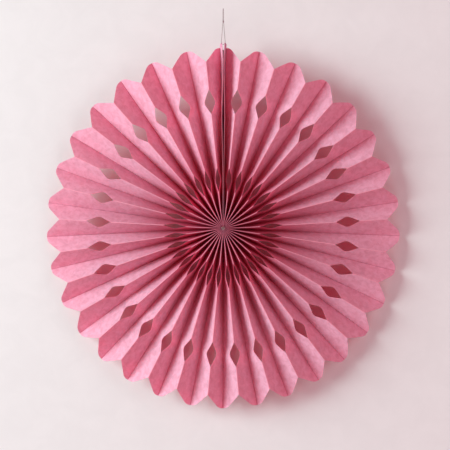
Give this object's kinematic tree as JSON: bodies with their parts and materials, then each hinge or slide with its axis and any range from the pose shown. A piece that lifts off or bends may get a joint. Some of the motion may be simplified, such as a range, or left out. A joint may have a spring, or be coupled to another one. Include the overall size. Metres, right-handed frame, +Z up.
{
  "type": "paper fan rosette",
  "caption": "Round pleated paper fan in rose pink with a scalloped rim and two rings of diamond cut-outs, joined at the top by two cards and hung on a white thread as a decoration.",
  "frame": {"origin": "centre of the pin or hook that holds the eye at the top of the hanging thread", "axes": "-Y is the front, along the fan's own axis; +Z is up, from the fan's hub to the thread's eye; +X is to the right as seen from the front"},
  "size_m": [0.3954, 0.041, 0.4422],
  "materials": {
    "rose_paper": "matte, slightly mottled tissue-like paper",
    "rose_card": "matte card",
    "tape": "double-sided tissue tape",
    "tie_thread": "twisted thread",
    "white_thread": "twisted white thread"
  },
  "bodies": {
    "root": {"pleated_paper": "rose_paper", "end_card_left": "rose_card", "end_card_right": "rose_card", "closure_tape": "tape", "seam_strip": "rose_paper", "centre_tie": "tie_thread", "hanging_thread": "white_thread", "thread_knot": "white_thread"}
  },
  "joints": []
}
